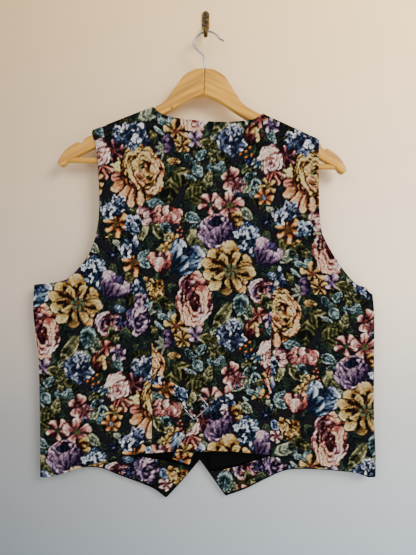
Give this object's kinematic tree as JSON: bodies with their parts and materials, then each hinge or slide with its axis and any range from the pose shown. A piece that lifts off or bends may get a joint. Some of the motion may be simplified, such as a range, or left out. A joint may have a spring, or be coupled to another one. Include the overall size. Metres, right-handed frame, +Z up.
{
  "type": "waistcoat on a wooden hanger and wall hook",
  "caption": "Sleeveless waistcoat in floral tapestry, seen from its back with a buckled strap, on a pale wooden hanger that hangs by its wire hook from a small brass wall hook.",
  "frame": {"origin": "middle of the wall hook plate's back face, on the wall", "axes": "+Z up; +Y into the wall; +X to the wearer's right, which is right in the picture; the waistcoat's back faces -Y"},
  "size_m": [0.5363, 0.0336, 0.776],
  "materials": {
    "tapestry": "woven floral tapestry, near-black ground, matte",
    "lining": "plain black satin lining",
    "bright_metal": "bright plated steel",
    "button": "dark plain button",
    "wood": "pale beech, clear varnish",
    "brass": "aged, with dark patches"
  },
  "bodies": {
    "root": {"back_centre": "tapestry", "back_side_left": "tapestry", "back_side_right": "tapestry", "front_left": "tapestry", "front_right": "tapestry", "facing_left": "tapestry", "facing_right": "tapestry", "lining_left": "lining", "lining_right": "lining", "strap_left": "tapestry", "strap_right": "tapestry", "strap_buckle": "bright_metal", "button_1": "button", "button_2": "button", "button_3": "button", "button_4": "button", "button_5": "button", "hanger_arm_left": "wood", "hanger_arm_right": "wood", "hanger_bar": "wood", "hanger_hook": "bright_metal", "wall_hook": "brass"}
  },
  "joints": []
}
